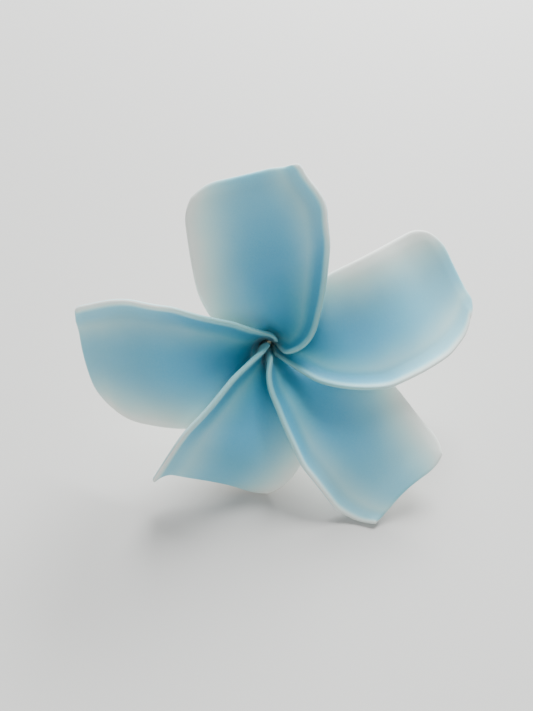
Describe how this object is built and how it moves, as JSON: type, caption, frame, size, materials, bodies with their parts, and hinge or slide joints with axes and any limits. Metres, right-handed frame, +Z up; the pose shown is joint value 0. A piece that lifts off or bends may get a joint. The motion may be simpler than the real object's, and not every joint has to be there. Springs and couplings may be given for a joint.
{
  "type": "foam frangipani flower",
  "caption": "Blue and white craft foam frangipani head: moulded petals with rolled lips, glued by their feet into a pinwheel and lying on its side.",
  "frame": {"origin": "on the surface that the head rests on, under the middle of its bounding box", "axes": "+Z up; the head faces towards -Y and up, its axis 48 degrees from the vertical; the petal at the top of the face points up and towards +Y"},
  "size_m": [0.0886, 0.0568, 0.0569],
  "materials": {
    "petal_top_foam": "matte craft foam, blue in the middle, white at the margins",
    "petal_right_foam": "matte craft foam, blue in the middle, white at the margins",
    "petal_lower_right_foam": "matte craft foam, blue in the middle, white at the margins",
    "petal_lower_left_foam": "matte craft foam, blue in the middle, white at the margins",
    "petal_left_foam": "matte craft foam, blue in the middle, white at the margins",
    "set_glue": "cloudy set hot glue"
  },
  "bodies": {
    "root": {"petal_top": "petal_top_foam", "petal_right": "petal_right_foam", "petal_lower_right": "petal_lower_right_foam", "petal_lower_left": "petal_lower_left_foam", "petal_left": "petal_left_foam", "glue_plug": "set_glue"}
  },
  "joints": []
}
